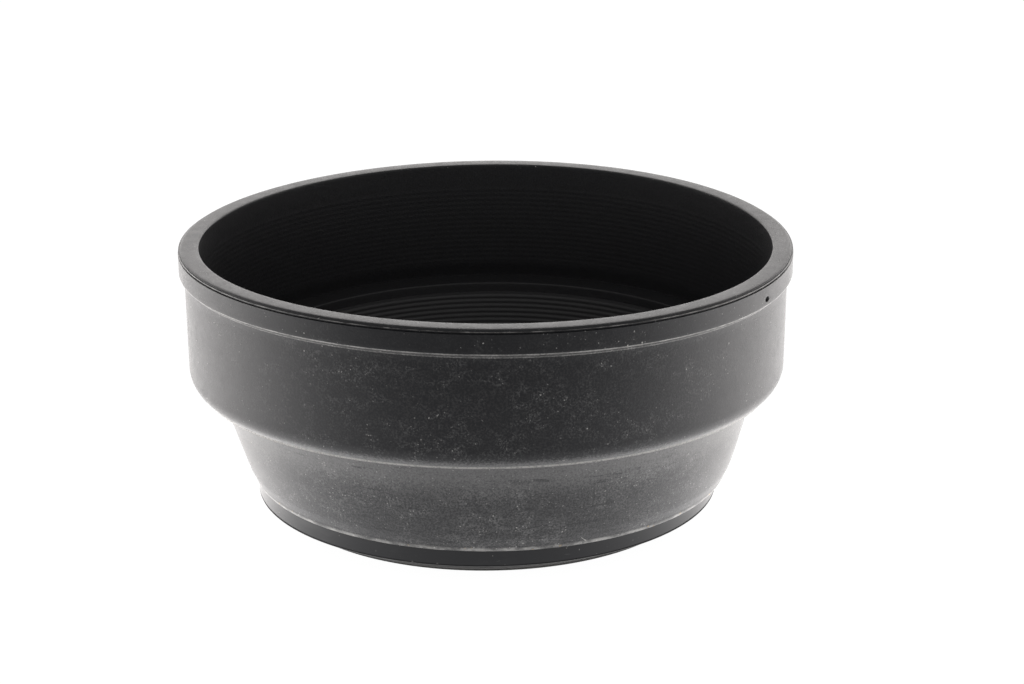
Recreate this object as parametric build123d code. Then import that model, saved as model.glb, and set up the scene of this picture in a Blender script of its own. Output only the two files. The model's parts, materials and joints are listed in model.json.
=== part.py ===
from build123d import *
from math import radians, cos, sin
import os

# Collapsible screw-in lens hood. All sizes in millimetres. The origin is the centre of the
# thread's free end, +Z is the optical axis and points to the open front.

# Mount ring: male filter thread M72 x 0.75 below a plain flange, with a hub above it.
thread_radius = 36.0
thread_pitch = 0.75
thread_depth = 0.4
thread_length = 2.45
thread_lead_in = 0.15
groove_half_width = 0.25
flange_radius = 39.85
flange_height = 2.9
flange_edge = 0.1
light_bore_radius = 34.0
hub_radius = 37.0
hub_clearance = 0.05
hub_bore_radius = 35.4
hub_step = 4.9
hub_height = 2.7

# Clamp ring: screws into the hub and holds the rubber down on the flange.
skirt_radius = 35.35
skirt_drop = 2.6
clamp_radius = 39.0
clamp_thickness = 1.2
clamp_edge = 0.3
slot_width = 2.0
slot_depth = 0.7

# Rubber: heights of the stations along the axis, from the thread's free end.
flange_top = thread_length + flange_height
collar_height = 2.75
cone_height = 14.05
shoulder_height = 4.6
wall_height = 15.8
lip_height = 3.95

collar_top = flange_top + collar_height
crease_height = collar_top + cone_height
wall_base = crease_height + shoulder_height
lip_base = wall_base + wall_height
hood_height = lip_base + lip_height

# Rubber: radii of the outside at those stations.
collar_foot_radius = 41.15
collar_foot_edge = 0.65
collar_top_radius = 42.0
crease_radius = 45.85
cone_bulge = 0.25
shoulder_round = 3.5
shoulder_radius = 51.0
wall_top_radius = 51.2
band_radius = 52.1
chamfer_height = 0.8

# Rubber: inside.
collar_wall = 2.4
crease_wall = 1.85
lip_inner_radius = 48.6
wall_inner_radius = 48.6
hinge_groove_depth = 0.5
hinge_groove_top = 0.35
hinge_groove_height = 1.6
ledge_radius = 45.2
ledge_above_crease = 2.35
ledge_edge = 0.2
ledge_foot_radius = 45.0
ledge_foot_above_crease = 0.85

# Fine anti-glare ribs moulded on the inside of the wall and of the cone.
rib_height = 0.18
rib_foot = 0.26
rib_crest = 0.08
wall_rib_pitch = 0.907
wall_rib_count = 16
wall_rib_start = 0.88
cone_rib_pitch = 0.873
cone_rib_count = 15
cone_rib_start = 0.6

# Front bead, the fine parting step under it, and the gate pit in the band.
bead_radius = 51.8
bead_round = 0.3
bead_inner_edge = 0.2
step_radius = 52.05
step_height = 0.12
parting_groove_radius = 51.85
parting_groove_height = 0.23
parting_groove_slope = 0.07
pit_radius = 0.45
pit_depth = 0.45
pit_angle = -29.3
pit_above_band_foot = 0.6


# Solid of revolution about Z from a closed chain of edges drawn as (radius, height).
def turned(*edges):
    outline = Wire(list(edges))
    return revolve(Plane.XZ * Face(outline), Axis.Z)


def straight_runs(points):
    return [Line(a, b) for a, b in zip(points[:-1], points[1:])]


# Points of a run of ribs whose highest is at height top, on a surface of radius surface(height).
# They are listed going up.
def ribs(surface, top, pitch, count):
    points = []
    for index in reversed(range(count)):
        middle = top - index * pitch
        points.append((surface(middle - rib_foot), middle - rib_foot))
        points.append((surface(middle) - rib_height, middle - rib_crest))
        points.append((surface(middle) - rib_height, middle + rib_crest))
        points.append((surface(middle + rib_foot), middle + rib_foot))
    return points


# The outside of the cone swells by cone_bulge at the middle of its height.
def cone_outside(height):
    along = (height - collar_top) / cone_height
    swell = 4.0 * cone_bulge * along * (1.0 - along)
    return collar_top_radius + (crease_radius - collar_top_radius) * along + swell


# The cone is thinnest at the crease, where it folds.
def cone_inside(height):
    along = (height - collar_top) / cone_height
    wall = collar_wall + (crease_wall - collar_wall) * along
    return cone_outside(height) - wall


def mount_ring():
    hub_top = flange_top + hub_height
    thread = [(light_bore_radius, 0.0), (thread_radius - thread_depth, 0.0), (thread_radius, thread_lead_in)]
    groove = thread_lead_in + thread_depth
    while groove + groove_half_width < thread_length:
        thread.append((thread_radius, groove - groove_half_width))
        thread.append((thread_radius - thread_depth, groove))
        thread.append((thread_radius, groove + groove_half_width))
        groove += thread_pitch
    flange = [
        (thread_radius, thread_length),
        (flange_radius - flange_edge, thread_length),
        (flange_radius, thread_length + flange_edge),
        (flange_radius, flange_top - flange_edge),
        (flange_radius - flange_edge, flange_top),
    ]
    hub = [
        (hub_radius, flange_top),
        (hub_radius, hub_top),
        (hub_bore_radius, hub_top),
        (hub_bore_radius, hub_step),
        (light_bore_radius, hub_step),
    ]
    return turned(*straight_runs(thread + flange + hub + thread[:1]))


def clamp_ring():
    top = collar_top + clamp_thickness
    skirt_foot = collar_top - skirt_drop
    outline = [
        (light_bore_radius, skirt_foot),
        (skirt_radius, skirt_foot),
        (skirt_radius, collar_top),
        (clamp_radius, collar_top),
        (clamp_radius, top - clamp_edge),
        (clamp_radius - clamp_edge, top),
        (light_bore_radius + clamp_edge, top),
        (light_bore_radius, top - clamp_edge),
        (light_bore_radius, skirt_foot),
    ]
    ring = turned(*straight_runs(outline))
    spanner_slots = Pos(0, 0, top - slot_depth / 2) * Box(4 * clamp_radius, slot_width, slot_depth)
    return ring - spanner_slots


def base_collar():
    foot_edge = collar_foot_radius - collar_foot_edge
    outline = [
        (collar_foot_radius, flange_top + collar_foot_edge),
        (collar_top_radius, collar_top),
        (hub_radius + hub_clearance, collar_top),
        (hub_radius + hub_clearance, flange_top),
        (foot_edge, flange_top),
    ]
    round_foot = RadiusArc(
        (foot_edge, flange_top), (collar_foot_radius, flange_top + collar_foot_edge), collar_foot_edge
    )
    return turned(*straight_runs(outline), round_foot)


def rear_cone():
    outside = ThreePointArc(
        (crease_radius, crease_height),
        (cone_outside(collar_top + cone_height / 2), collar_top + cone_height / 2),
        (collar_top_radius, collar_top),
    )
    inside = [(collar_top_radius, collar_top), (cone_inside(collar_top), collar_top)]
    inside += ribs(cone_inside, crease_height - cone_rib_start, cone_rib_pitch, cone_rib_count)
    inside += [(cone_inside(crease_height), crease_height), (crease_radius, crease_height)]
    return turned(outside, *straight_runs(inside))


def fold_shoulder():
    round_start = (shoulder_radius, crease_height + shoulder_round)
    round_end = (shoulder_radius - shoulder_round, crease_height)
    round_middle = (
        shoulder_radius - shoulder_round * (1 - cos(radians(45))),
        crease_height + shoulder_round * (1 - sin(radians(45))),
    )
    groove_radius = wall_inner_radius + hinge_groove_depth
    groove_head = wall_base - hinge_groove_top
    groove_foot = groove_head - hinge_groove_height
    ledge = crease_height + ledge_above_crease
    top_rib = crease_height - cone_rib_start + cone_rib_pitch
    outline = [
        round_end,
        (cone_inside(crease_height), crease_height),
        *ribs(cone_inside, top_rib, cone_rib_pitch, 1),
        (ledge_foot_radius, crease_height + ledge_foot_above_crease),
        (ledge_radius - ledge_edge, ledge - ledge_edge),
        (ledge_radius, ledge),
        (groove_radius, groove_foot),
        (groove_radius, groove_head),
        (wall_inner_radius, wall_base),
        (shoulder_radius, wall_base),
        round_start,
    ]
    return turned(*straight_runs(outline), ThreePointArc(round_start, round_middle, round_end))


def front_wall():
    outside = [
        (lip_inner_radius, lip_base),
        (band_radius, lip_base),
        (wall_top_radius, lip_base - chamfer_height),
        (shoulder_radius, wall_base),
        (wall_inner_radius, wall_base),
    ]
    top_rib = lip_base - wall_rib_start
    inside = ribs(lambda height: wall_inner_radius, top_rib, wall_rib_pitch, wall_rib_count)
    return turned(*straight_runs(outside + inside + outside[:1]))


def front_lip():
    bead_foot = hood_height - bead_round
    groove_head = bead_foot - step_height
    groove_foot = groove_head - parting_groove_height
    outline = [
        (bead_radius, bead_foot),
        (step_radius, bead_foot),
        (step_radius, groove_head),
        (parting_groove_radius, groove_head - parting_groove_slope),
        (parting_groove_radius, groove_foot),
        (band_radius, groove_foot - parting_groove_slope),
        (band_radius, lip_base),
        (lip_inner_radius, lip_base),
        (lip_inner_radius, hood_height - bead_inner_edge),
        (lip_inner_radius + bead_inner_edge, hood_height),
        (bead_radius - bead_round, hood_height),
    ]
    bead_edge = RadiusArc(
        (bead_radius - bead_round, hood_height), (bead_radius, bead_foot), bead_round
    )
    lip = turned(*straight_runs(outline), bead_edge)
    pit_floor = band_radius - pit_depth
    pit = Pos(pit_floor, 0, lip_base + pit_above_band_foot) * Rot(0, 90, 0) * Cylinder(
        pit_radius, 2 * pit_depth, align=(Align.CENTER, Align.CENTER, Align.MIN)
    )
    return lip - Rot(0, 0, pit_angle) * pit


nodes = {
    "mount_ring": mount_ring,
    "clamp_ring": clamp_ring,
    "base_collar": base_collar,
    "rear_cone": rear_cone,
    "fold_shoulder": fold_shoulder,
    "front_wall": front_wall,
    "front_lip": front_lip,
}

os.makedirs("parts", exist_ok=True)
for name, make in nodes.items():
    export_step(make(), f"parts/{name}.step")
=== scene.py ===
import json
from math import cos, pi, radians, sin

import bmesh
import bpy
import numpy as np
from mathutils import Matrix, Vector


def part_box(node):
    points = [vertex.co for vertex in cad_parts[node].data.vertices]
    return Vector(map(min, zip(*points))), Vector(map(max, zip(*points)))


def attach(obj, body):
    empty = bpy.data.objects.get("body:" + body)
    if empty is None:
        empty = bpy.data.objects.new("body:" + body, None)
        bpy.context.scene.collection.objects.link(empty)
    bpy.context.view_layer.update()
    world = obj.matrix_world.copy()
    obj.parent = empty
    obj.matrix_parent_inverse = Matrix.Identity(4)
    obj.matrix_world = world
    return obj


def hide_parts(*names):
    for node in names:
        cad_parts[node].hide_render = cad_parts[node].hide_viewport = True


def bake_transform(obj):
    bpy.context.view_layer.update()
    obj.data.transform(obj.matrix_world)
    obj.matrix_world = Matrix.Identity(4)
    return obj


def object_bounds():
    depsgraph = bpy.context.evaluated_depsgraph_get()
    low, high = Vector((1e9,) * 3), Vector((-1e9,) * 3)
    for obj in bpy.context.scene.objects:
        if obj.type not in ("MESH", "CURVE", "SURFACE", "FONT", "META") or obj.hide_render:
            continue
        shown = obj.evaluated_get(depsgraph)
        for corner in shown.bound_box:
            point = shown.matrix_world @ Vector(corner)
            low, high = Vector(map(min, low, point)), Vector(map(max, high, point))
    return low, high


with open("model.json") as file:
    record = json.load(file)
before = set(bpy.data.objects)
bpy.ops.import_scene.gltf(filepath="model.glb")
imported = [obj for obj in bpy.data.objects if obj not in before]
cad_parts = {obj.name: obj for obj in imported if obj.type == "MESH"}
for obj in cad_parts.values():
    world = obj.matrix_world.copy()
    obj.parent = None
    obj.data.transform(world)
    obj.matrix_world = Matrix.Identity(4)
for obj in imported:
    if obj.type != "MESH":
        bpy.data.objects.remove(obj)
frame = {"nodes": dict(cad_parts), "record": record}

cadLow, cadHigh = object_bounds()
mm = 0.001
rowMargin = 0.005 * mm      # a row this close to a height or a radius is on it
sharpAngle = radians(32)    # a corner that turns by more than this stays sharp
print("frame loaded:", ", ".join(sorted(frame["nodes"])))


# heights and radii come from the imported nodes

def foot(node):
    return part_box(node)[0].z


def top(node):
    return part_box(node)[1].z


def reach(node):
    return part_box(node)[1].x


collarFoot, collarTop = foot("base_collar"), foot("rear_cone")
crease, wallBase = foot("fold_shoulder"), foot("front_wall")
lipBase, rimTop = foot("front_lip"), top("front_lip")
collarRadius, creaseRadius = reach("base_collar"), reach("rear_cone")
shoulderRadius, bandRadius = reach("fold_shoulder"), reach("front_lip")
flangeRadius = reach("mount_ring")
thread = frame["record"]["mounts"][0]["dims"]
threadRadius, threadLength = thread["r_mm"] * mm, thread["length_mm"] * mm


# camera

cameraSetup = {
    "distance": 0.450,      # from the middle of the rim
    "elevation": 16.0,      # degrees above the rim
    "aimSide": 0.0044,      # the aim, beside the axis
    "aimDrop": 0.01903,     # and below the rim
    "roll": -0.25,
    "lens": 92.78, "sensorWidth": 36.0,
    "nearest": 0.01, "farthest": 20.0,
}

camera = bpy.data.objects.new("camera", bpy.data.cameras.new("camera"))
bpy.context.scene.collection.objects.link(camera)
bpy.context.scene.camera = camera
camera.data.lens = cameraSetup["lens"]
camera.data.sensor_width = cameraSetup["sensorWidth"]
camera.data.clip_start, camera.data.clip_end = cameraSetup["nearest"], cameraSetup["farthest"]
rise = radians(cameraSetup["elevation"])
camera.location = (0.0, -cameraSetup["distance"] * cos(rise), rimTop + cameraSetup["distance"] * sin(rise))
aim = Vector((cameraSetup["aimSide"], 0.0, rimTop - cameraSetup["aimDrop"]))
turn = (aim - camera.location).to_track_quat("-Z", "Y").to_matrix()
camera.rotation_euler = (turn @ Matrix.Rotation(radians(cameraSetup["roll"]), 3, "Z")).to_euler()
print("camera placed")


# small helpers for outlines and meshes

# points on a straight run from a to b: a * (1 - share) + b * share, b left out
def run(a, b, count=1):
    share = np.arange(count)[:, None] / count
    return np.array(a) * (1 - share) + np.array(b) * share


# points on an arc: middle + size * (cos, sin) of an angle that goes from start to end, the last left out
def bend(middle, size, start, end, count):
    angle = np.radians(start + (end - start) * np.arange(count) / count)
    return np.array(middle) + size * np.stack([np.cos(angle), np.sin(angle)], axis=1)


# 0 below low, 1 above high, and 3t2 - 2t3 between
def ease(value, low, high):
    share = np.clip((value - low) / (high - low), 0, 1)
    return share * share * (3 - 2 * share)


# A closed outline carried round Z: row i and column j give the point
# (radius cos angle + aside, radius sin angle, height). Rows and columns both close on themselves.
def turnedMesh(name, radius, height, angle, aside=0.0):
    rows, columns = radius.shape
    points = np.stack([radius * np.cos(angle) + aside, radius * np.sin(angle), height], axis=2).reshape(-1, 3)
    row, column = np.meshgrid(np.arange(rows), np.arange(columns), indexing="ij")
    nextRow, nextColumn = (row + 1) % rows, (column + 1) % columns
    quads = np.stack([row * columns + column, nextRow * columns + column,
                      nextRow * columns + nextColumn, row * columns + nextColumn], axis=2).reshape(-1, 4)
    mesh = bpy.data.meshes.new(name)
    mesh.vertices.add(len(points))
    mesh.vertices.foreach_set("co", points.astype(np.float32).ravel())
    mesh.loops.add(quads.size)
    mesh.loops.foreach_set("vertex_index", quads.astype(np.int32).ravel())
    mesh.polygons.add(len(quads))
    mesh.polygons.foreach_set("loop_start", np.arange(0, quads.size, 4, dtype=np.int32))
    mesh.update(calc_edges=True)
    mesh.validate()
    return mesh


# the mesh becomes an object of the scene, shaded smooth with its real corners kept sharp
def placed(name, mesh, material):
    mesh.shade_smooth()
    mesh.set_sharp_from_angle(angle=sharpAngle)
    mesh.materials.append(material)
    made = bpy.data.objects.new(name, mesh)
    bpy.context.scene.collection.objects.link(made)
    return made


# evenly spread angles, with more of them close to one: those within spread of it give way to the extra ones
def anglesWith(columns, centre, spread, extra):
    even = np.linspace(-pi, pi, columns, endpoint=False)
    fine = centre + np.linspace(-spread, spread, extra)
    kept = even[np.abs(even - centre) > spread + pi / columns / 2]
    return np.sort(np.concatenate([kept, fine]))


# shader helpers

# a socket that can stand in a sum: each operator adds its Math node
class Value:
    def __init__(self, sheet, socket):
        self.sheet, self.socket = sheet, socket

    def __add__(self, other):
        return self.sheet.maths("ADD", self, other)

    def __sub__(self, other):
        return self.sheet.maths("SUBTRACT", self, other)

    def __rsub__(self, other):
        return self.sheet.maths("SUBTRACT", other, self)

    def __mul__(self, other):
        return self.sheet.maths("MULTIPLY", self, other)

    def __truediv__(self, other):
        return self.sheet.maths("DIVIDE", self, other)

    def __pow__(self, other):
        return self.sheet.maths("POWER", self, other)

    __radd__, __rmul__ = __add__, __mul__


# one node tree of a material or of the world
class Sheet:
    def __init__(self, owner):
        owner.use_nodes = True
        self.owner, self.tree = owner, owner.node_tree
        self.tree.nodes.clear()

    def node(self, kind, settings=None, inputs=None, output=0):
        made = self.tree.nodes.new(kind)
        for key, value in (settings or {}).items():
            setattr(made, key, value)
        for key, value in (inputs or {}).items():
            if isinstance(value, Value):
                self.tree.links.new(value.socket, made.inputs[key])
            else:
                made.inputs[key].default_value = value
        return Value(self, made.outputs[output] if len(made.outputs) else None)

    def maths(self, operation, first, second=0.0):
        return self.node("ShaderNodeMath", {"operation": operation}, {0: first, 1: second})

    # smooth step of a value from low to high, falling when low is the larger
    def step(self, value, low, high):
        return self.node("ShaderNodeMapRange", {"interpolation_type": "SMOOTHSTEP"},
                         {"Value": value, "From Min": low, "From Max": high})

    # the same between two distances from a place
    def stepFrom(self, value, place, distances):
        return self.step(value, place + distances[0], place + distances[1])

    def mix(self, factor, first, second):
        return self.node("ShaderNodeMix", {"data_type": "RGBA"}, {0: factor, 6: first, 7: second}, 2)

    # the place on the piece, turned and then scaled by a number for each axis
    def place(self, scale, turn=(0.0, 0.0, 0.0)):
        coordinates = self.node("ShaderNodeTexCoord", output=3)
        return self.node("ShaderNodeMapping", {"vector_type": "POINT"},
                         {"Vector": coordinates, "Rotation": turn, "Scale": scale})

    def noise(self, scale, detail=2.0, roughness=0.5, turn=(0.0, 0.0, 0.0), output=0):
        inputs = {"Vector": self.place(scale, turn), "Scale": 1.0, "Detail": detail, "Roughness": roughness}
        return self.node("ShaderNodeTexNoise", None, inputs, output)

    # grains: in a share of the cells a ragged spot round the cell's own point, each as strong as its luck
    def grains(self, scale, size, share):
        jitter = self.noise([2.6 * part for part in scale], 1.0, 0.5, output=1)
        where = self.node("ShaderNodeVectorMath", {"operation": "MULTIPLY_ADD"},
                          {0: jitter, 1: (size * 2.2,) * 3, 2: self.place(scale)})
        cells = self.node("ShaderNodeTexVoronoi", None, {"Vector": where, "Scale": 1.0})
        cellColour = Value(self, cells.socket.node.outputs["Color"])
        luck = self.node("ShaderNodeSeparateColor", None, {0: cellColour})
        return self.step(cells, size, size * 0.5) * self.step(luck, 1 - share, 1.0)

    # a number kept for each point of the mesh
    def attribute(self, name):
        return self.node("ShaderNodeAttribute", {"attribute_name": name}, output=2)

    def axes(self):
        coordinates = self.node("ShaderNodeTexCoord", output=3)
        split = self.node("ShaderNodeSeparateXYZ", None, {0: coordinates})
        outputs = split.socket.node.outputs
        return [Value(self, outputs[index]) for index in range(3)]

    # a plain surface of this colour and roughness, with its relief raised by depth
    def coated(self, colour, rough, relief, depth):
        bump = self.node("ShaderNodeBump", None, {"Strength": 1.0, "Distance": depth, "Height": relief})
        return self.surface(self.node("ShaderNodeBsdfPrincipled", None,
                                      {"Base Color": colour, "Roughness": rough, "Normal": bump}))

    # the shader goes to the output, and the sheet is done
    def surface(self, shader):
        kind = "World" if isinstance(self.owner, bpy.types.World) else "Material"
        self.node("ShaderNodeOutput" + kind, None, {"Surface": shader})
        return self.owner


# finishes

rubberFinish = {
    "clean": (0.0128, 0.0128, 0.0150, 1.0),
    "greyFilmAndLight": (0.200, 0.197, 0.197, 1.0),
    "dust": (0.58, 0.565, 0.545, 1.0),
    "sand": (0.60, 0.42, 0.20, 1.0),
    "roughness": 0.44, "grainDepth": 0.026 * mm,

    # patterns: waves in a metre along X, Y and Z, levels of detail, and how rough they are
    "patches": ((85.0, 85.0, 130.0), 4.0, 0.55),
    "clouds": ((420.0, 420.0, 620.0), 5.0, 0.62),
    "grain": ((4200.0, 4200.0, 4200.0), 2.0, 0.6),
    "pores": ((3100.0, 3100.0, 3100.0), 3.0, 0.7),
    "rubs": ((70.0, 70.0, 1500.0), 4.0, 0.6),          # marks that run round the hood
    "sweeps": ((160.0, 160.0, 480.0), 3.0, 0.5),
    "curls": ((520.0, 520.0, 520.0), 0.0, 0.5),

    # grains: cells in a metre, a spot's size in its cell, and the share of the cells that have one
    "fineGrains": ((1900.0, 1900.0, 1900.0), 0.26, 0.65),
    "coarseGrains": ((820.0, 820.0, 820.0), 0.12, 0.54),
    "fibreGrains": ((310.0, 310.0, 310.0), 0.24, 0.16),
    "sandGrains": ((900.0, 900.0, 900.0), 0.24, 0.42),
    "fine": 1.2, "coarse": 2.3, "fibres": 1.1,         # how strongly each kind shows
    "specksInside": 0.04,

    # the grey film, with painted light added to it in places, and how far above the fold, the lip's base or
    # the foot its parts begin and end
    "hazeOutside": 0.21, "hazeInside": 0.16, "hazeOnCone": 0.345, "filmAndLightInCone": 0.10,
    "coneReach": (0.15 * mm, -0.05 * mm),
    "bandCleaner": 0.45, "bandReach": (0.0, 0.2 * mm),             # less of it on the band
    "filmAndLightUnderFold": 0.47, "underFoldReach": (-9.0 * mm, 0.0),     # more on the cone close under the fold, partly painted light
    "handled": 0.20,         # less on the middle of the cone, where fingers hold it
    "handledTop": (-3.0 * mm, -7.5 * mm), "handledFoot": (1.0 * mm, 4.0 * mm),
    "rubbedOff": 0.50,       # and on the marks that run round it
    "bloomAndHighlight": 0.84, "bloomAndHighlightReach": (2.5 * mm, 0.3 * mm),             # whitening where the rubber folds: bloom, with a painted highlight on the shoulder
    "foldDustAndHighlight": 1.00, "foldLineReach": (0.68 * mm, 0.50 * mm),     # the white line at the very fold: dust with a painted highlight

    # lighter lines on edges: dust, with painted highlights where the edges catch the light
    "slopeDustAndHighlight": 0.36,        # dust and a painted highlight on the slope under the band
    "slopeTop": (0.12 * mm, 0.0), "slopeFoot": (-0.10 * mm, 0.05 * mm),
    "edgeDustAndHighlightLine": 0.40,        # a painted highlight line, with dust, on the slope's upper edge
    "lowerDustAndHighlight": 0.6,        # and this share of it on the lower edge
    "upperReach": (-0.28 * mm, -0.10 * mm), "lowerReach": (0.22 * mm, 0.06 * mm),
    # a painted highlight line at the foot, with dust
    "footLineDustAndHighlight": 0.62, "footReach": (1.15 * mm, 0.70 * mm),
    "sandReach": (1.3 * mm, 0.3 * mm),
    "stepDustAndHighlight": 0.42,        # dust and a painted highlight line on the fine step under the bead
    "stepReach": (-0.50 * mm, -0.40 * mm), "stepInset": (-0.15 * mm, -0.07 * mm),
    "rimEdgeLighter": 0.10,         # the rim's inner edge a little lighter
    "rimReach": (-0.5 * mm, -0.2 * mm), "rimInset": (0.42 * mm, 0.22 * mm),
}


def hoodRubber():
    look = rubberFinish
    sheet = Sheet(bpy.data.materials.new("hoodRubber"))
    outside, height, radius = [sheet.attribute(name) for name in ("outside", "level", "span")]
    fold = crease + rubberHood["foldLift"]
    slopeFoot = lipBase - rubberHood["chamferHeight"]

    patches, cloudy = sheet.noise(*look["patches"]), sheet.noise(*look["clouds"])
    grain, pores = sheet.noise(*look["grain"]), sheet.noise(*look["pores"])
    rubbed, swept = sheet.noise(*look["rubs"]), sheet.noise(*look["sweeps"])
    mottle = sheet.step(pores, 0.38, 0.62)
    thick = sheet.step(patches, 0.40, 0.62)
    clumps = sheet.step(cloudy, 0.35, 0.65)
    clouds = sheet.step(cloudy, 0.36, 0.72) * sheet.step(patches, 0.30, 0.66)

    onCone = sheet.stepFrom(height, fold, look["coneReach"])
    coneOutside, coneInside = onCone * outside, onCone * (1 - outside)
    onShoulder = outside * (1 - onCone)
    marks = sheet.step(rubbed, 0.52, 0.66) * sheet.step(swept, 0.42, 0.60) * coneOutside

    # grey film and painted light: a thin grey film, thicker on the cone, with painted light inside the cone
    # and on the cone close under the fold, and bloom with a painted highlight where the rubber folds
    greyFilmAndLight = outside * look["hazeOutside"] * (0.45 + clouds * 0.9) * (mottle * 2.0)
    greyFilmAndLight = greyFilmAndLight * (1 - sheet.stepFrom(height, lipBase, look["bandReach"]) * look["bandCleaner"])
    # inside the cone, painted light is added to the film
    greyFilmAndLight = greyFilmAndLight + (1 - outside) * look["hazeInside"] + coneInside * look["filmAndLightInCone"]
    # painted light on the cone close under the fold, with some dust
    underFoldFilmAndLight = sheet.stepFrom(height, fold, look["underFoldReach"]) * coneOutside
    coneFilmAndLight = coneOutside * look["hazeOnCone"] * (0.80 + clouds * 0.25) + underFoldFilmAndLight * look["filmAndLightUnderFold"]
    middle = sheet.stepFrom(height, fold, look["handledTop"])
    middle = middle * sheet.stepFrom(height, collarFoot, look["handledFoot"])
    coneFilmAndLight = coneFilmAndLight * (1 - middle * look["handled"]) * (1 - marks * look["rubbedOff"])
    greyFilmAndLight = greyFilmAndLight + coneFilmAndLight * (0.80 + mottle * 0.14 + sheet.step(grain, 0.36, 0.64) * 0.26)
    # bloom with a painted highlight on the shoulder above the fold
    bloomAndHighlight = sheet.stepFrom(height, fold, look["bloomAndHighlightReach"]) * onShoulder
    greyFilmAndLight = greyFilmAndLight + bloomAndHighlight * look["bloomAndHighlight"] * (0.65 + mottle * 0.5 + clouds * 0.3)

    # specks: fine and coarse grains in drifts, and short curled fibres
    drifts = sheet.step(cloudy, 0.42, 0.60) * thick
    fine = sheet.grains(*look["fineGrains"]) * (0.14 + drifts * 0.62 + onCone * 0.35)
    coarse = sheet.grains(*look["coarseGrains"]) * (0.17 + drifts * 0.55 + thick * 0.3)
    curl = sheet.maths("ABSOLUTE", sheet.noise(*look["curls"]) - 0.5)
    fibres = sheet.step(curl, 0.014, 0.005) * sheet.grains(*look["fibreGrains"])
    specks = fine * look["fine"] + coarse * look["coarse"] + fibres * look["fibres"]
    specks = specks * (look["specksInside"] + outside * (1 - look["specksInside"]))

    # dust and painted highlight on the slope under the band, with a painted highlight line, partly dust, at
    # its upper and at its lower edge
    slope = sheet.stepFrom(height, slopeFoot, look["slopeFoot"])
    slope = slope * sheet.stepFrom(height, lipBase, look["slopeTop"])
    upperDustAndHighlight = sheet.stepFrom(height, lipBase, look["upperReach"])
    lowerDustAndHighlight = sheet.stepFrom(height, slopeFoot, look["lowerReach"])
    lines = (upperDustAndHighlight + lowerDustAndHighlight * look["lowerDustAndHighlight"]) * look["edgeDustAndHighlightLine"] * (0.5 + clumps)
    dustAndHighlights = slope * outside * (look["slopeDustAndHighlight"] * (0.5 + mottle * 0.6) + lines)

    # and dust with painted highlight lines on the fold, at the foot and on the step under the bead; the rim's
    # inner edge is a little lighter
    foldDustAndHighlight = sheet.stepFrom(height, fold, look["foldLineReach"]) * onShoulder
    dustAndHighlights = dustAndHighlights + foldDustAndHighlight * look["foldDustAndHighlight"] * (0.6 + mottle * 0.8)
    footDustAndHighlight = sheet.stepFrom(height, collarFoot, look["footReach"]) * outside
    dustAndHighlights = dustAndHighlights + footDustAndHighlight * look["footLineDustAndHighlight"] * (0.4 + clumps * 0.8)
    stepEdge = sheet.stepFrom(height, rimTop, look["stepReach"])
    stepEdge = stepEdge * sheet.stepFrom(radius, bandRadius, look["stepInset"])
    dustAndHighlights = dustAndHighlights + stepEdge * look["stepDustAndHighlight"] * (0.3 + clumps)
    rimEdge = sheet.stepFrom(height, rimTop, look["rimReach"])
    rimEdge = rimEdge * sheet.stepFrom(radius, rubberHood["beadInner"], look["rimInset"])
    dustAndHighlights = dustAndHighlights + rimEdge * look["rimEdgeLighter"]
    sand = sheet.grains(*look["sandGrains"]) * outside
    sand = sand * sheet.stepFrom(height, collarFoot, look["sandReach"])

    colour = sheet.mix(sheet.step(greyFilmAndLight, 0.0, 1.0), look["clean"], look["greyFilmAndLight"])
    # the dust colour carries the dust specks and also the painted highlight lines on the edges
    colour = sheet.mix(sheet.step(specks + dustAndHighlights, 0.0, 1.2), colour, look["dust"])
    colour = sheet.mix(sheet.step(sand, 0.0, 0.7), colour, look["sand"])
    rough = look["roughness"] + (cloudy - 0.5) * 0.16 + (pores - 0.5) * 0.30 + specks * 0.2 - marks * 0.05
    relief = grain * 0.6 + pores * 0.9 + cloudy * 0.8 + specks * 1.5
    return sheet.coated(colour, rough, relief, look["grainDepth"])


ringFinish = {
    "black": (0.0125, 0.0125, 0.0145, 1.0),
    "rubbed": (0.060, 0.060, 0.062, 1.0),
    "bare": (0.31, 0.305, 0.30, 1.0),
    "dust": (0.35, 0.34, 0.32, 1.0),
    "roughness": 0.34, "lineDepth": 0.010 * mm,

    # patterns and grains, as the rubber's are given
    "patches": ((120.0, 120.0, 300.0), 3.0, 0.5),
    "grain": ((3000.0, 3000.0, 3000.0), 2.0, 0.5),
    "scratches": ((500.0, 90.0, 2400.0), 3.0, 0.6, (0.2, 0.3, 0.5)),     # turned by these angles
    "turnedLines": 5200.0,
    "dustGrains": ((1000.0, 1000.0, 1000.0), 0.16, 0.30),

    # how much of the black has gone from the thread, and from the flange's lower edge, where the lighter line
    # is also a painted highlight
    "threadWear": 1.00, "threadTop": (0.05 * mm, -0.05 * mm),
    "threadInner": (-0.9 * mm, -0.5 * mm), "threadOuter": (0.5 * mm, 0.2 * mm),
    "edgeWearAndHighlight": 0.35, "edgeTop": (0.16 * mm, 0.10 * mm), "edgeInner": (-0.4 * mm, -0.2 * mm),
}


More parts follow.
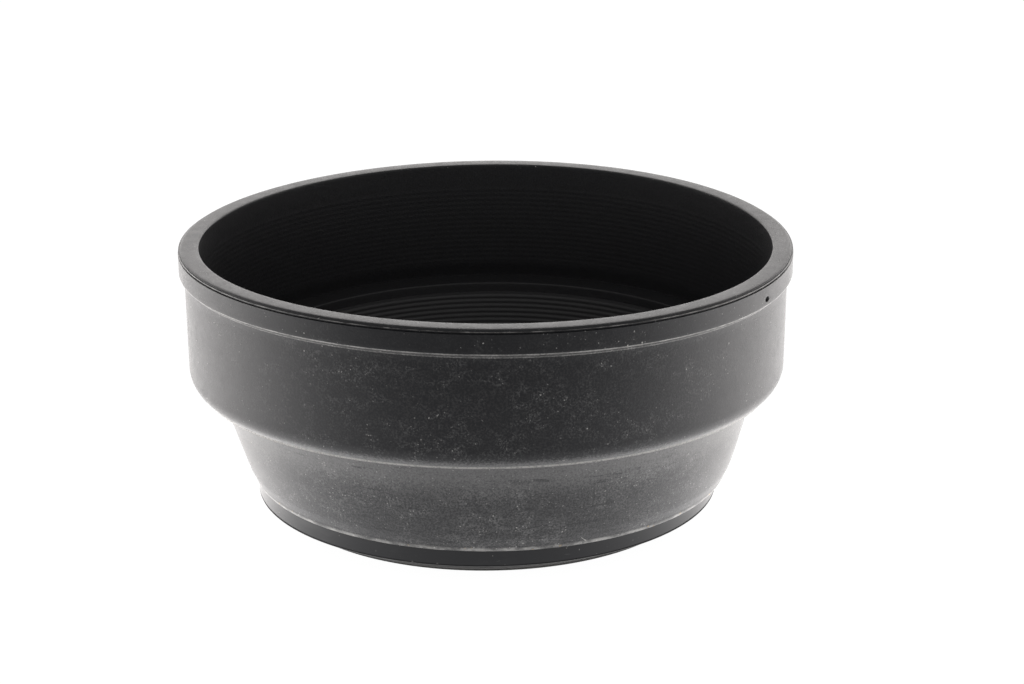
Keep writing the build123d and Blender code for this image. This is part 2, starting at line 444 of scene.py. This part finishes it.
def ringAnodised():
    look = ringFinish
    sheet = Sheet(bpy.data.materials.new("ringAnodised"))
    across, along, height = sheet.axes()
    radius = (across * across + along * along) ** 0.5
    lines = look["turnedLines"]
    spot = sheet.node("ShaderNodeCombineXYZ", None, {0: radius * lines, 1: height * lines, 2: 0.0})
    turned = sheet.node("ShaderNodeTexNoise", None,
                        {"Vector": spot, "Scale": 1.0, "Detail": 3.0, "Roughness": 0.6})
    patches, grain = sheet.noise(*look["patches"]), sheet.noise(*look["grain"])
    scratches = sheet.step(sheet.noise(*look["scratches"]), 0.66, 0.74)
    specks = sheet.grains(*look["dustGrains"])
    worn = scratches * 0.5 + sheet.step(patches, 0.52, 0.75) * 0.35
    onThread = sheet.stepFrom(radius, threadRadius, look["threadInner"])
    onThread = onThread * sheet.stepFrom(radius, threadRadius, look["threadOuter"])
    onThread = onThread * sheet.stepFrom(height, threadLength, look["threadTop"])
    onEdge = sheet.stepFrom(radius, flangeRadius, look["edgeInner"])
    onEdge = onEdge * sheet.stepFrom(height, threadLength, look["edgeTop"])
    # worn bare thread, and the flange's lower edge lighter: wear with a painted highlight
    wornAndHighlit = onThread * look["threadWear"] + onEdge * look["edgeWearAndHighlight"]
    colour = sheet.mix(sheet.step(worn, 0.0, 1.0), look["black"], look["rubbed"])
    colour = sheet.mix(wornAndHighlit * (0.6 + grain * 0.8), colour, look["bare"])
    colour = sheet.mix(specks * 0.7, colour, look["dust"])
    rough = look["roughness"] + (turned - 0.5) * 0.14 + specks * 0.3
    return sheet.coated(colour, rough, turned + grain * 0.3, look["lineDepth"])


# the rubber moulding, one surface from the rim to the foot

rubberHood = {
    "columns": 252,

    # the bead, the fine step and the parting groove under it
    "beadInner": 48.6 * mm, "beadOuter": 51.8 * mm, "beadRound": 0.3 * mm, "innerEdge": 0.2 * mm,
    "beadCrown": 0.05 * mm,  # the bead's top is this much higher at its middle
    "stepRadius": 52.05 * mm, "stepHeight": 0.12 * mm,
    "grooveRadius": 51.85 * mm, "grooveHeight": 0.23 * mm, "grooveSlope": 0.07 * mm, "grooveLip": 0.03 * mm,

    # the gate pit in the band, an oval
    "pitAngle": -29.3, "pitHeight": 1.05 * mm,
    "pitWide": 0.74 * mm, "pitTall": 0.44 * mm, "pitDepth": 0.45 * mm,
    "pitWall": (0.62, 1.08),     # its wall lies between these shares of its size
    "pitRows": 0.5 * mm, "pitSpread": 0.85 * mm, "pitColumns": 17,     # where the mesh is finer for it

    # outside, going down
    "chamferHeight": 0.8 * mm, "wallTopRadius": 51.2 * mm, "cornerRound": 0.12 * mm,
    "shoulderRound": 3.5 * mm,
    "foldLift": 0.65 * mm,   # the fold stands this high above the crease
    "foldEnd": -60.0, "foldRidge": 0.25 * mm,          # the round ends in a small ridge
    "coneBulge": 0.25 * mm, "collarWall": 2.4 * mm, "creaseWall": 1.85 * mm, "coneRows": 23,
    "collarFootRadius": 41.15 * mm, "footRound": 1.10 * mm, "bore": 37.05 * mm,

    # inside, going up: ribs on the cone, the ledge, the undercut hinge and ribs on the wall
    "coneRibs": 16, "coneRibPitch": 0.873 * mm, "coneRibStart": 0.03 * mm, "coneRibStand": 0.085 * mm,
    "ledgeFoot": 45.05 * mm, "ledgeFootAbove": 0.62 * mm,
    "ledge": 45.2 * mm, "ledgeAbove": 2.35 * mm, "ledgeRound": 0.25 * mm,
    "hingeTop": 0.2 * mm, "hingeSlope": 1.5 * mm, "hingeHeight": 0.3 * mm, "hingeDepth": 0.8 * mm,
    "wallRibs": 16, "wallRibPitch": 0.907 * mm, "wallRibStart": 0.88 * mm, "wallRibStand": 0.018 * mm,

    # how the soft rubber is out of true
    "coneShift": 0.50 * mm, "hangFrom": 1.0 * mm,      # the cone hangs this far towards +X
    "lean": -0.0027,         # the rim stands this much higher for each metre towards +X
    "droop": 0.16 * mm, "saddle": 0.385 * mm, "saddleTurn": 137.5,     # and it is not quite flat
    "foldDrop": 0.25 * mm, "foldLean": 0.20 * mm, "foldSaddle": 0.20 * mm, "foldReach": 9.0 * mm,
    "outOfRound": 0.09 * mm,
    "waves": ((2, 1.0, 0.7), (3, 0.45, -1.1), (5, 0.2, 2.0)),          # turns round the rim, share, phase
}

# one moulded rib, going up: height from its middle as a share of the pitch, and the share of its
# stand, (1 + cos) / 2 of that height
ribPlaces = np.array([-0.44, -0.26, -0.09, 0.09, 0.26, 0.44])
ribStands = (1 + np.cos(2 * pi * ribPlaces)) / 2


# cone outside: straight from the collar to the crease, plus a swell of 4 * bulge * share * (1 - share)
def coneRadius(height):
    share = (height - collarTop) / (crease - collarTop)
    swell = 4 * rubberHood["coneBulge"] * share * (1 - share)
    return collarRadius + (creaseRadius - collarRadius) * share + swell


# cone inside: the outside less a wall that thins evenly from the collar to the crease
def coneInside(height):
    share = (height - collarTop) / (crease - collarTop)
    return coneRadius(height) - rubberHood["collarWall"] * (1 - share) - rubberHood["creaseWall"] * share


# a run of ribs on an inner surface: each rib's six points, stood in from that surface's radius
def ribRows(surface, highest, pitch, count, stand):
    middles = highest - pitch * np.arange(count)[::-1]
    heights = (middles[:, None] + pitch * ribPlaces[None, :]).ravel()
    return np.stack([surface(heights) - stand * np.tile(ribStands, count), heights], axis=1)


# the outline of the wall's section as (radius, height) rows, clockwise from the inner edge of the rim
def hoodOutline():
    h = rubberHood
    beadFoot = rimTop - h["beadRound"]
    stepFoot = beadFoot - h["stepHeight"]
    grooveFoot = stepFoot - h["grooveHeight"]
    chamferFoot = lipBase - h["chamferHeight"]
    footEdge = h["collarFootRadius"] - h["footRound"]
    fold = crease + h["foldLift"]
    coneHeights = np.linspace(fold, collarTop, h["coneRows"] + 1)[:-1]
    shoulderMiddle = (shoulderRadius - h["shoulderRound"], fold + h["shoulderRound"])
    foldEnd = radians(h["foldEnd"])
    ridgeRadius = shoulderMiddle[0] + h["shoulderRound"] * cos(foldEnd)
    ridgeHeight = shoulderMiddle[1] + h["shoulderRound"] * sin(foldEnd)
    ridgeFoot = (ridgeRadius, ridgeHeight - h["foldRidge"])
    ledgeTop = crease + h["ledgeAbove"]
    hingeTop = wallBase - h["hingeTop"]
    hingeHead = hingeTop - h["hingeSlope"]
    hingeFoot = hingeHead - h["hingeHeight"]
    hingeRadius = h["beadInner"] + h["hingeDepth"]
    pitTop, pitFoot = lipBase + h["pitHeight"] + h["pitRows"], lipBase + h["pitHeight"] - h["pitRows"]
    grooveEnd = grooveFoot - h["grooveSlope"]

    # each corner of the slope under the band is rounded off by one point beside it
    corner = h["cornerRound"]
    slopeTop = (bandRadius - 0.35 * corner, lipBase - 0.4 * corner)
    slopeFoot = (h["wallTopRadius"] + 0.4 * corner, chamferFoot + 0.5 * corner)

    outsideRows = [
        bend((h["beadInner"] + h["innerEdge"], rimTop - h["innerEdge"]), h["innerEdge"], 180, 90, 4),
        run((h["beadInner"] + h["innerEdge"], rimTop), (h["beadOuter"] - h["beadRound"], rimTop), 7),
        bend((h["beadOuter"] - h["beadRound"], beadFoot), h["beadRound"], 90, 0, 6),
        run((h["beadOuter"], beadFoot), (h["stepRadius"], beadFoot), 1),
        run((h["stepRadius"], beadFoot), (h["stepRadius"], stepFoot), 1),
        run((h["stepRadius"], stepFoot), (h["grooveRadius"], stepFoot - h["grooveSlope"]), 1),
        run((h["grooveRadius"], stepFoot - h["grooveSlope"]), (h["grooveRadius"], grooveFoot), 1),
        run((h["grooveRadius"], grooveFoot), (bandRadius - h["grooveLip"], grooveEnd), 1),
        run((bandRadius, grooveEnd - h["grooveLip"]), (bandRadius, pitTop), 4),
        run((bandRadius, pitTop), (bandRadius, pitFoot), 14),
        run((bandRadius, pitFoot), (bandRadius, lipBase + corner), 1),
        run((bandRadius, lipBase + corner), slopeTop, 1),
        run(slopeTop, slopeFoot, 2),
        run(slopeFoot, (h["wallTopRadius"], chamferFoot - corner), 2),
        run((h["wallTopRadius"], chamferFoot - corner), (shoulderRadius, wallBase), 12),
        run((shoulderRadius, wallBase), (shoulderRadius, shoulderMiddle[1]), 1),
        bend(shoulderMiddle, h["shoulderRound"], 0, h["foldEnd"], 16),
        run((ridgeRadius, ridgeHeight), ridgeFoot, 2),
        run(ridgeFoot, (coneRadius(fold), fold), 3),
        np.stack([coneRadius(coneHeights), coneHeights], axis=1),
        run((collarRadius, collarTop), (h["collarFootRadius"], collarFoot + h["footRound"]), 5),
        bend((footEdge, collarFoot + h["footRound"]), h["footRound"], 0, -90, 5),
    ]
    insideRows = [
        run((footEdge, collarFoot), (h["bore"], collarFoot), 3),
        run((h["bore"], collarFoot), (h["bore"], collarTop), 3),
        run((h["bore"], collarTop), (coneInside(collarTop), collarTop), 2),
        ribRows(coneInside, crease + h["coneRibStart"], h["coneRibPitch"], h["coneRibs"], h["coneRibStand"]),
        run((h["ledgeFoot"], crease + h["ledgeFootAbove"]), (h["ledge"], ledgeTop - h["ledgeRound"]), 3),
        bend((h["ledge"] + h["ledgeRound"], ledgeTop - h["ledgeRound"]), h["ledgeRound"], 180, 90, 4),
        run((h["ledge"] + h["ledgeRound"], ledgeTop), (hingeRadius, hingeFoot), 3),
        run((hingeRadius, hingeFoot), (hingeRadius, hingeHead), 3),
        run((hingeRadius, hingeHead), (h["beadInner"], hingeTop), 1),
        run((h["beadInner"], hingeTop), (h["beadInner"], wallBase), 1),
        ribRows(lambda height: h["beadInner"] + 0 * height, lipBase - h["wallRibStart"], h["wallRibPitch"],
                h["wallRibs"], h["wallRibStand"]),
        run((h["beadInner"], lipBase), (h["beadInner"], rimTop - h["innerEdge"]), 5),
    ]
    outer, inner = np.concatenate(outsideRows), np.concatenate(insideRows)
    shown = np.concatenate([np.ones(len(outer)), np.zeros(len(inner))])
    return np.concatenate([outer, inner]), shown


# The outline carried round, with the soft rubber's own shape added to it:
# the gate pit, an inward dish of depth * (1 - ease) inside an oval;
# slow waves in the radius, share * cos(turns * angle + phase), which grow from the collar to the wall;
# the bead's crown, 4 * crown * share * (1 - share) of the way across it;
# the rim's lean and warp, lean * x - droop + saddle * cos(2 * angle - turn), which grow up to the lip;
# the fold's sag, lean * cos(angle) - saddle * cos(2 * angle) - drop, strongest from the crease to the wall;
# and the cone's hang, x + shift, which fades out from the collar's top to the wall.
def hoodMesh():
    h = rubberHood
    outline, shown = hoodOutline()
    pit = radians(h["pitAngle"])
    angle = anglesWith(h["columns"], pit, h["pitSpread"] / bandRadius, h["pitColumns"])[None, :]
    span, level = outline[:, :1], outline[:, 1:]
    radius = span + 0 * angle
    risen = ease(level, collarTop, wallBase)

    pitAside = (angle - pit) * bandRadius / h["pitWide"]
    pitAbove = (level - lipBase - h["pitHeight"]) / h["pitTall"]
    dish = 1 - ease(np.sqrt(pitAside ** 2 + pitAbove ** 2), *h["pitWall"])
    radius = radius - h["pitDepth"] * dish * (span > bandRadius - rowMargin) * shown[:, None]
    wave = sum(share * np.cos(turns * angle + phase) for turns, share, phase in h["waves"])
    radius = radius + h["outOfRound"] * risen * wave

    beadWide = h["beadOuter"] - h["beadInner"]
    crown = np.clip((radius - h["beadInner"]) * (h["beadOuter"] - radius), 0, None) / beadWide ** 2
    crown = h["beadCrown"] * (4 * crown * (level > rimTop - rowMargin) - risen)
    warp = h["saddle"] * np.cos(2 * angle - radians(h["saddleTurn"])) - h["droop"]
    warp = (warp + h["lean"] * radius * np.cos(angle)) * ease(level, collarTop, lipBase)
    sag = h["foldLean"] * np.cos(angle) - h["foldSaddle"] * np.cos(2 * angle) - h["foldDrop"]
    sag = sag * ease(level, crease - h["foldReach"], crease) * (1 - ease(level, wallBase, lipBase))
    height = level + warp + sag + crown

    soft = span > h["bore"] + rowMargin
    hang = h["coneShift"] * soft * (1 - ease(level, collarTop - h["hangFrom"], wallBase))
    mesh = turnedMesh("hoodRubber", radius, height, angle, hang)
    for key, values in {"outside": shown, "span": span, "level": level}.items():
        made = mesh.attributes.new(key, "FLOAT", "POINT")
        made.data.foreach_set("value", np.repeat(values, angle.size).astype(np.float32))
    return mesh


hood = placed("hoodRubber", hoodMesh(), hoodRubber())
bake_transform(hood)
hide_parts("front_lip", "front_wall", "fold_shoulder", "rear_cone", "base_collar")
print("rubber hood:", len(hood.data.polygons), "faces")


# the mount ring with its cut thread

mountRing = {
    "columns": 256,
    "bore": 34.0 * mm, "edge": 0.1 * mm, "footEdge": 0.05 * mm,
    "lineFrom": 0.12 * mm, "lineTo": 0.40 * mm,        # a fine line turned above the flange's foot
    "lineDepth": 0.14 * mm, "lineSlope": 0.04 * mm,
    "pitch": 0.75 * mm, "depth": 0.4 * mm, "leadIn": 0.15 * mm, "rowsInPitch": 20,
    "flankSteepness": 1.5,   # above 1, the thread has flat crests
    "fadeFrom": 0.45 * mm, "fadeTo": 0.15 * mm,        # the thread fades out this far below the flange
    "hubRadius": 37.0 * mm, "hubBore": 35.4 * mm, "hubStep": 4.9 * mm,
}


# The thread is a helix cut into a plain outline: at each height the depth follows
# 1 - steepness * |2 * phase - 1|, cut off at 0, with phase = height / pitch - angle / a full turn.
# It fades out under the flange, and a lead-in slope is cut at the free end.
def mountMesh():
    m = mountRing
    flangeTop, hubTop = collarFoot, top("mount_ring")
    lineFrom, lineTo = threadLength + m["lineFrom"], threadLength + m["lineTo"]
    lineRadius = flangeRadius - m["lineDepth"]
    threadRows = int(round(threadLength / m["pitch"] * m["rowsInPitch"]))
    outline = np.concatenate([
        run((m["bore"] + m["edge"], 0.0), (threadRadius - m["depth"], 0.0), 2)[::-1],
        run((m["bore"], m["edge"]), (m["bore"], m["hubStep"]), 6),
        run((m["bore"], m["hubStep"]), (m["hubBore"], m["hubStep"]), 2),
        run((m["hubBore"], m["hubStep"]), (m["hubBore"], hubTop), 3),
        run((m["hubBore"], hubTop), (m["hubRadius"], hubTop), 2),
        run((m["hubRadius"], hubTop), (m["hubRadius"], flangeTop), 3),
        run((m["hubRadius"], flangeTop), (flangeRadius - m["edge"], flangeTop), 4),
        run((flangeRadius - m["edge"], flangeTop), (flangeRadius, flangeTop - m["edge"]), 2),
        run((flangeRadius, flangeTop - m["edge"]), (flangeRadius, lineTo), 6),
        run((flangeRadius, lineTo), (lineRadius, lineTo - m["lineSlope"]), 1),
        run((lineRadius, lineTo - m["lineSlope"]), (lineRadius, lineFrom + m["lineSlope"]), 1),
        run((lineRadius, lineFrom + m["lineSlope"]), (flangeRadius, lineFrom), 1),
        run((flangeRadius, lineFrom), (flangeRadius, threadLength + m["footEdge"]), 1),
        run((flangeRadius, threadLength + m["footEdge"]), (flangeRadius - m["footEdge"], threadLength), 1),
        run((flangeRadius - m["footEdge"], threadLength), (threadRadius, threadLength), 4),
        run((threadRadius, threadLength), (threadRadius, 0.0), threadRows),
    ])
    angle = np.linspace(-pi, pi, m["columns"], endpoint=False)[None, :]
    radius, height = outline[:, :1] + 0 * angle, outline[:, 1:] + 0 * angle
    onThread = (np.abs(radius - threadRadius) < rowMargin) & (height < threadLength + rowMargin)
    phase = (height / m["pitch"] - angle / (2 * pi)) % 1.0
    groove = np.clip(1 - np.abs(2 * phase - 1) * m["flankSteepness"], 0, 1)
    fade = 1 - ease(height, threadLength - m["fadeFrom"], threadLength - m["fadeTo"])
    leadIn = np.clip(1 - height / m["leadIn"], 0, 1)
    radius = radius - m["depth"] * np.maximum(groove * fade, leadIn) * onThread
    return turnedMesh("mountRing", radius, height, angle)


ringMaterial = ringAnodised()
mount = placed("mountRing", mountMesh(), ringMaterial)
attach(mount, "mount")
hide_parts("mount_ring")
print("mount ring:", len(mount.data.polygons), "faces")


# the clamp ring with its two spanner slots

clampRing = {
    "columns": 240,
    "bore": 34.0 * mm, "skirtRadius": 35.35 * mm, "edge": 0.3 * mm, "skirtEdge": 0.1 * mm,
    "slotWidth": 2.0 * mm, "slotDepth": 0.7 * mm, "slotColumns": 5,
}


# The ring's outline carried round, with its top let down to the slot floor between the slot's walls.
# A wall is two columns at asin(half width / radius), one at the top and one at the floor.
def clampMesh():
    c = clampRing
    skirtFoot, clampTop, outer = foot("clamp_ring"), top("clamp_ring"), reach("clamp_ring")
    slotFloor = clampTop - c["slotDepth"]
    outline = np.concatenate([
        run((c["skirtRadius"], skirtFoot), (c["bore"] + c["skirtEdge"], skirtFoot), 2),
        run((c["bore"], skirtFoot + c["skirtEdge"]), (c["bore"], slotFloor), 4),
        run((c["bore"], slotFloor), (c["bore"], clampTop - c["edge"]), 1),
        bend((c["bore"] + c["edge"], clampTop - c["edge"]), c["edge"], 180, 90, 4),
        run((c["bore"] + c["edge"], clampTop), (outer - c["edge"], clampTop), 5),
        bend((outer - c["edge"], clampTop - c["edge"]), c["edge"], 90, 0, 4),
        run((outer, clampTop - c["edge"]), (outer, slotFloor), 1),
        run((outer, slotFloor), (outer, collarTop), 2),
        run((outer, collarTop), (c["skirtRadius"], collarTop), 3),
        run((c["skirtRadius"], collarTop), (c["skirtRadius"], skirtFoot), 4),
    ])
    half = c["slotWidth"] / 2
    across = np.linspace(-half, half, c["slotColumns"])
    slotAngle = np.arcsin(across[None, :] / outline[:, :1])
    wallAngle = slotAngle[:, [0, -1]]
    spanAngle = np.linspace(0, 1, c["columns"] // 2)[None, :]
    plain = wallAngle[:, 1:] + (pi - 2 * wallAngle[:, 1:]) * spanAngle
    angle = np.concatenate([slotAngle, plain, slotAngle + pi, plain + pi], axis=1)
    inSlot, onRing = np.ones(c["slotColumns"], bool), np.zeros(plain.shape[1], bool)
    low = np.concatenate([inSlot, onRing, inSlot, onRing])
    height = outline[:, 1:] + 0 * angle
    height = np.where(low[None, :], np.minimum(height, slotFloor), height)
    radius = outline[:, :1] + 0 * angle
    return welded(turnedMesh("clampRing", radius, height, angle))


# points that lie on each other become one, and the empty faces between them go
def welded(mesh, apart=0.0005 * mm):
    work = bmesh.new()
    work.from_mesh(mesh)
    bmesh.ops.remove_doubles(work, verts=work.verts, dist=apart)
    bmesh.ops.dissolve_degenerate(work, edges=work.edges, dist=apart)
    work.to_mesh(mesh)
    work.free()
    return mesh


clamp = placed("clampRing", clampMesh(), ringMaterial)
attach(clamp, "mount")
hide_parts("clamp_ring")
print("clamp ring:", len(clamp.data.polygons), "faces")


# floor and the light all round

stageLight = {
    "floorSize": 3.0, "floorGap": 0.05 * mm,
    "floorWhite": 0.85,         # share of the floor that is plain white to the camera
    "white": 1.15, "paint": (0.9, 0.9, 0.9, 1.0),

    # the glowing paper, painted light: where it ends towards the camera, how bright it is, and where a
    # painted shadow of the hood darkens it
    "paperFront": (-0.155, -0.085), "paperRound": (-1.0, 0.2),
    "paperMiddle": 0.60, "paperSides": 2.45, "beyondPaper": 0.15,
    "paperNear": 0.15, "nearHood": (0.120, 0.060),
    # painted shadow of the hood on the glowing floor
    "hoodShadow": (0.0366, 0.0385),

    # the light round the horizon, and the heights between which it fades
    "front": 0.45, "sides": 1.4, "behind": 2.5, "zenith": 0.32,
    "sidesRound": (-1.05, 0.15), "behindRound": (0.55, 0.95), "zenithFrom": (0.80, 0.35),
    "sidesAbove": 0.33, "tableEdge": (0.30, 0.06),     # share of the side light above the table's edge
    "cool": (0.985, 0.99, 1.0, 1.0), "warm": (1.0, 0.975, 0.962, 1.0), "plain": (1.0, 1.0, 1.0, 1.0),
    "skyTiny": 0.0001, "floorTiny": 0.000001,          # so that nothing is divided by zero
}


# The world: white to the camera. To everything else it is front + (sides - front) * ease(turn), where
# turn goes from -1 in front to 1 behind, then up to the light behind, and it falls with height to the
# dim zenith.
def lightAllRound():
    s = stageLight
    sheet = Sheet(bpy.data.worlds.new("studio"))
    direction = sheet.node("ShaderNodeTexCoord")
    split = sheet.node("ShaderNodeSeparateXYZ", None, {0: direction}).socket.node.outputs
    across, back, up = [Value(sheet, split[index]) for index in range(3)]
    turn = back / (across * across + back * back + s["skyTiny"]) ** 0.5
    sideways = sheet.step(turn, *s["sidesRound"])
    behind = sheet.step(turn, *s["behindRound"])
    low = s["sidesAbove"] + sheet.step(up, *s["tableEdge"]) * (1 - s["sidesAbove"])
    around = s["front"] + sideways * (s["sides"] * low - s["front"])
    around = around + behind * (s["behind"] - around)
    light = s["zenith"] + sheet.step(up, *s["zenithFrom"]) * (around - s["zenith"])
    seen = sheet.node("ShaderNodeLightPath")
    strength = seen + (1 - seen) * light
    tint = sheet.mix((1 - seen) * sideways, s["plain"], s["warm"])
    shader = sheet.node("ShaderNodeBackground", None, {"Color": tint, "Strength": strength})
    return sheet.surface(shader)


# The floor: plain white to the camera, with a share of real white paint that takes the shadow.
# To everything else it glows as painted light, like lit paper, middle + sides * ease(turn) of the way round
# from the front, a little brighter close to the hood. The glow ends in front of the hood, and a painted
# shadow darkens it under the hood.
def floorPaper():
    s = stageLight
    sheet = Sheet(bpy.data.materials.new("floorPaper"))
    across, along = sheet.axes()[:2]
    away = (across * across + along * along + s["floorTiny"]) ** 0.5
    paper = sheet.step(along, *s["paperFront"])
    close = sheet.step(away, *s["nearHood"]) * s["paperNear"]
    sideways = sheet.step(along / away + close, *s["paperRound"])
    light = s["beyondPaper"] + paper * (s["paperMiddle"] + sideways * s["paperSides"] - s["beyondPaper"])
    # painted shadow of the hood: the glow is dark under it
    light = light * sheet.step(away, *s["hoodShadow"])
    tint = sheet.mix(sideways, s["cool"], s["warm"])
    glow = sheet.node("ShaderNodeEmission", None, {"Color": tint, "Strength": light})
    paint = sheet.node("ShaderNodeBsdfDiffuse", None, {"Color": s["paint"]})
    plain = sheet.node("ShaderNodeEmission", None, {"Color": s["plain"], "Strength": s["white"]})
    shown = sheet.node("ShaderNodeMixShader", None, {0: s["floorWhite"], 1: paint, 2: plain})
    seen = sheet.node("ShaderNodeLightPath")
    shader = sheet.node("ShaderNodeMixShader", None, {0: seen, 1: glow, 2: shown})
    return sheet.surface(shader)


half, ground = stageLight["floorSize"] / 2, cadLow.z - stageLight["floorGap"]
corners = [(-half, -half, ground), (half, -half, ground), (half, half, ground), (-half, half, ground)]
floorMesh = bpy.data.meshes.new("floor")
floorMesh.from_pydata(corners, [], [(0, 1, 2, 3)])
floorMesh.materials.append(floorPaper())
floor = bpy.data.objects.new("floor", floorMesh)
bpy.context.scene.collection.objects.link(floor)

bpy.context.scene.world = lightAllRound()
bpy.context.scene.view_settings.view_transform = "Standard"
print("floor and world made")
